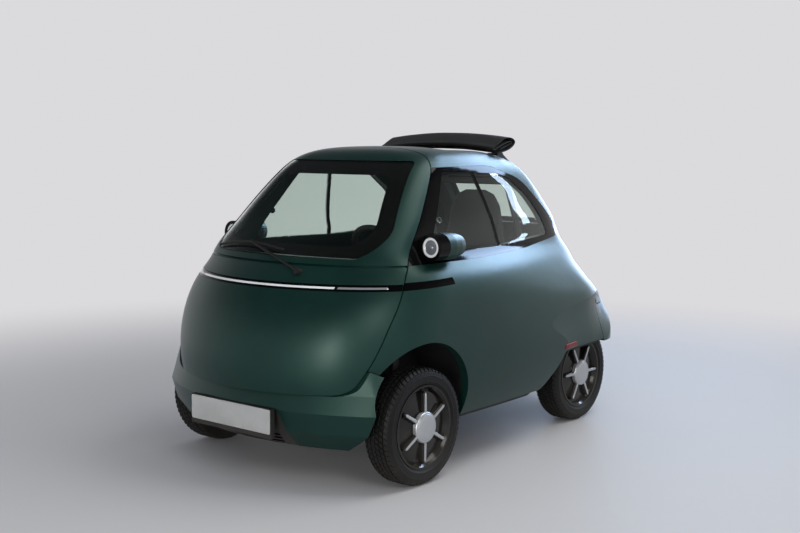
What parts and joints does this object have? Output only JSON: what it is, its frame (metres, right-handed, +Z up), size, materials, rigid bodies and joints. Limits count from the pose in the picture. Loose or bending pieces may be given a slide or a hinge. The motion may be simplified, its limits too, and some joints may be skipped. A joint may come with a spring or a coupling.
{
  "type": "microcar",
  "caption": "Two-seat microcar with a front-opening door, narrow rear track, side lamp pods, folding soft top and light bar across the nose.",
  "frame": {"origin": "ground, middle of the overall length and width", "axes": "+X to the car's left, -Y forward, +Z up"},
  "size_m": [1.4718, 2.5315, 1.5839],
  "materials": {
    "black_plastic": "matte",
    "cast_aluminium": "cast",
    "fabric": "woven",
    "glass": "clear",
    "gloss_black": "gloss",
    "lamp_red": "clear",
    "lamp_white": "clear",
    "mirror": "polished",
    "paint": "satin metallic",
    "silver": "satin",
    "steel": "painted",
    "tyre": "rubber"
  },
  "bodies": {
    "body": {"arch_liners": "black_plastic", "battery": "cast_aluminium", "body_left": "paint", "body_right": "paint", "bumper_insert": "black_plastic", "door_latch": "black_plastic", "floor_pan": "black_plastic", "front_axle": "steel", "front_bumper": "paint", "gate_pins": "black_plastic", "motor": "cast_aluminium", "pod_drums": "gloss_black", "pod_lamps": "lamp_white", "pod_mirrors": "mirror", "pod_shells": "paint", "rear_axle": "steel", "roll_bar": "black_plastic", "roof": "paint", "seat_back": "fabric", "seat_base": "black_plastic", "seat_cushion": "fabric", "side_glass_left": "glass", "side_glass_right": "glass", "side_strips": "gloss_black", "soft_top": "fabric", "steering_column": "black_plastic", "tail_panel": "paint", "window_frame_left": "gloss_black", "window_frame_right": "gloss_black"},
    "door": {"dash_bar": "black_plastic", "front_door": "paint", "light_bar": "gloss_black", "light_strip": "lamp_white", "windscreen": "glass", "wiper": "black_plastic"},
    "tailgate_body": {"gate_leaves": "black_plastic", "rear_glass": "glass", "tail_lamp": "lamp_red", "tailgate": "paint"},
    "steering": {"steering_wheel": "black_plastic"},
    "upright_left": {"knuckle_left": "steel"},
    "upright_right": {"knuckle_right": "steel"},
    "wheel_front_left": {"tyre_front_left": "tyre", "rim_front_left": "gloss_black", "hub_cap_front_left": "silver"},
    "wheel_front_right": {"tyre_front_right": "tyre", "rim_front_right": "gloss_black", "hub_cap_front_right": "silver"},
    "wheel_rear_left": {"tyre_rear_left": "tyre", "rim_rear_left": "gloss_black", "hub_cap_rear_left": "silver"},
    "wheel_rear_right": {"tyre_rear_right": "tyre", "rim_rear_right": "gloss_black", "hub_cap_rear_right": "silver"}
  },
  "joints": [
    {"name": "door_hinge", "type": "hinge", "parent": "body", "child": "door", "pos_m": [0.72, -0.888, 0.7], "axis": [0, 0, 1], "range_deg": [0, 75]},
    {"name": "tailgate_hinge", "type": "hinge", "parent": "body", "child": "tailgate_body", "pos_m": [0, 0.427, 1.47], "axis": [1, 0, 0], "range_deg": [0, 60]},
    {"name": "steering_turn", "type": "hinge", "parent": "body", "child": "steering", "pos_m": [0.3, -0.553, 1], "axis": [0, 0.8192, 0.5736], "range_deg": [-450, 450]},
    {"name": "steer_left", "type": "hinge", "parent": "body", "child": "upright_left", "pos_m": [0.6, -0.738, 0.266], "axis": [0, 0, 1], "range_deg": [-28, 28]},
    {"name": "steer_right", "type": "hinge", "parent": "body", "child": "upright_right", "pos_m": [-0.6, -0.738, 0.266], "axis": [0, 0, 1], "range_deg": [-28, 28]},
    {"name": "spin_front_left", "type": "hinge", "parent": "upright_left", "child": "wheel_front_left", "pos_m": [0.643, -0.738, 0.266], "axis": [1, 0, 0], "continuous": true},
    {"name": "spin_front_right", "type": "hinge", "parent": "upright_right", "child": "wheel_front_right", "pos_m": [-0.643, -0.738, 0.266], "axis": [1, 0, 0], "continuous": true},
    {"name": "spin_rear_left", "type": "hinge", "parent": "body", "child": "wheel_rear_left", "pos_m": [0.492, 0.828, 0.266], "axis": [1, 0, 0], "continuous": true},
    {"name": "spin_rear_right", "type": "hinge", "parent": "body", "child": "wheel_rear_right", "pos_m": [-0.492, 0.828, 0.266], "axis": [1, 0, 0], "continuous": true}
  ],
  "couplings": [
    {"joint": "steer_right", "follows": "steer_left", "ratio": 1},
    {"joint": "steering_turn", "follows": "steer_left", "ratio": 16}
  ]
}
